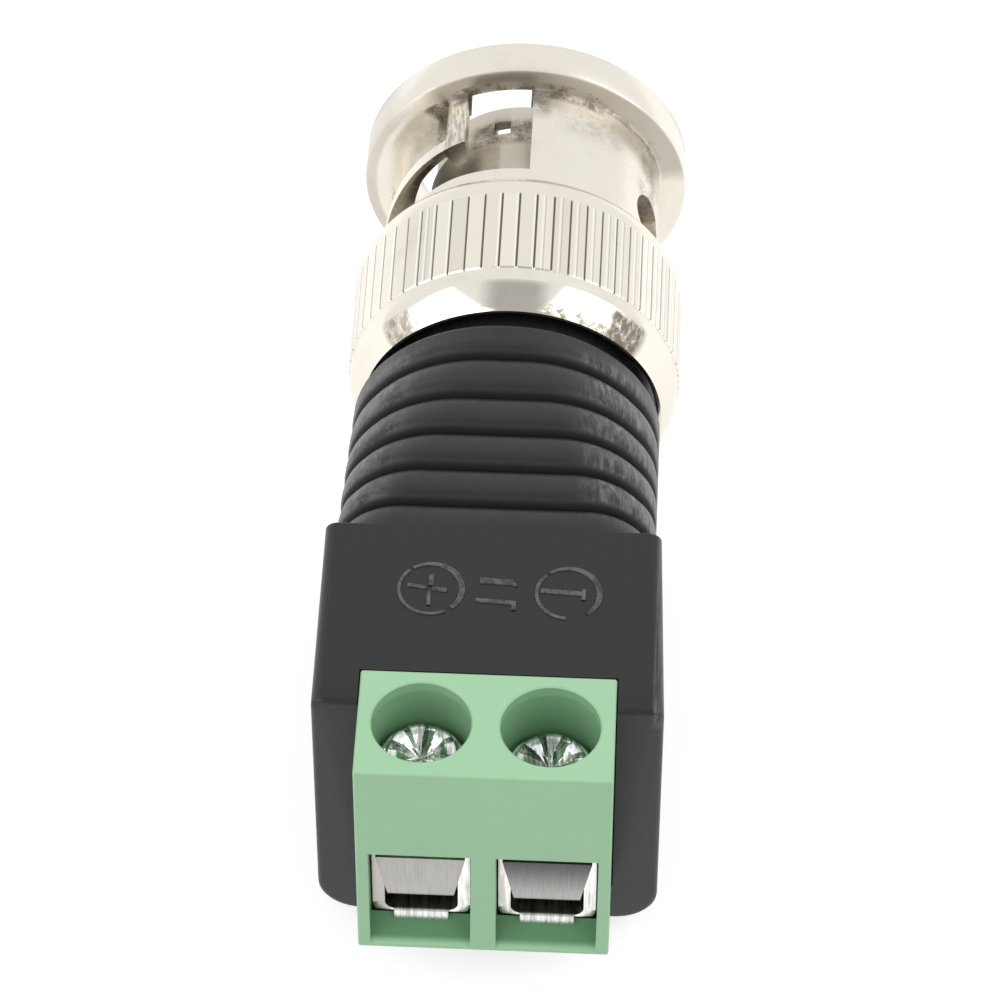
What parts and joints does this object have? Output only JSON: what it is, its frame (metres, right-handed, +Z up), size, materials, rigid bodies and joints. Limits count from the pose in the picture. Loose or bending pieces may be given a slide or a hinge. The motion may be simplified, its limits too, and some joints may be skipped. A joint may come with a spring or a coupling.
{
  "type": "coaxial plug to screw terminal adapter",
  "caption": "Coaxial bayonet plug with a knurled coupling nut on a ribbed housing, wired to a screw terminal block by a short rigid body.",
  "frame": {"origin": "on the surface it lies on, below the middle of its overall length and width", "axes": "+Y along the plug's axis towards the mating mouth, +Z up, +X to the right seen from the terminals"},
  "size_m": [0.0144, 0.0412, 0.0145],
  "materials": {
    "black_plastic": "moulded black plastic, semi-matte with fine draw marks",
    "green_plastic": "moulded pale green plastic, semi-gloss",
    "tinned_sheet": "tinned strip",
    "spring_steel": "brushed spring strip",
    "zinc_screw": "bright zinc plating",
    "nickel": "nickel plating on brass, satin gloss",
    "silicone": "soft matte seal",
    "white_plastic": "turned white insulator",
    "gold_plating": "gold plating on brass",
    "red_insulation": "extruded wire insulation"
  },
  "bodies": {
    "adapter": {"housing": "black_plastic", "terminal_block": "green_plastic", "clamp_frame_plus": "tinned_sheet", "clamp_frame_minus": "tinned_sheet", "contact_strip_plus": "tinned_sheet", "contact_strip_minus": "tinned_sheet", "connector_body": "nickel", "outer_contact": "nickel", "gasket": "silicone", "dielectric": "white_plastic", "centre_pin": "gold_plating", "signal_lead": "red_insulation", "ground_lead": "black_plastic", "wave_washer": "spring_steel"},
    "nut_carrier": {"thrust_washer": "spring_steel"},
    "nut": {"coupling_nut": "nickel", "retaining_ring": "spring_steel"},
    "guard_plus": {"wire_guard_plus": "spring_steel"},
    "guard_minus": {"wire_guard_minus": "spring_steel"},
    "screw_plus": {"terminal_screw_plus": "zinc_screw"},
    "screw_minus": {"terminal_screw_minus": "zinc_screw"}
  },
  "joints": [
    {"name": "nut_slide", "type": "slide", "parent": "adapter", "child": "nut_carrier", "axis": [0, 1, 0], "range_m": [0, 0.0012], "stiffness_N_per_m": 2000, "deforming": ["wave_washer"]},
    {"name": "nut_turn", "type": "hinge", "parent": "nut_carrier", "child": "nut", "pos_m": [0, 0.0128, 0.00719], "axis": [0, 1, 0], "continuous": true},
    {"name": "plus_guard_lift", "type": "slide", "parent": "adapter", "child": "guard_plus", "axis": [0, 0, 1], "range_m": [-0.001, 0.00075]},
    {"name": "plus_screw_turn", "type": "hinge", "parent": "guard_plus", "child": "screw_plus", "pos_m": [-0.00254, -0.01791, 0.01], "axis": [0, 0, 1], "range_deg": [-720, 540]},
    {"name": "minus_guard_lift", "type": "slide", "parent": "adapter", "child": "guard_minus", "axis": [0, 0, 1], "range_m": [-0.001, 0.00075]},
    {"name": "minus_screw_turn", "type": "hinge", "parent": "guard_minus", "child": "screw_minus", "pos_m": [0.00254, -0.01791, 0.01], "axis": [0, 0, 1], "range_deg": [-720, 540]}
  ],
  "couplings": [
    {"joint": "plus_screw_turn", "follows": "plus_guard_lift", "rad_per_m": 12566},
    {"joint": "minus_screw_turn", "follows": "minus_guard_lift", "rad_per_m": 12566}
  ]
}
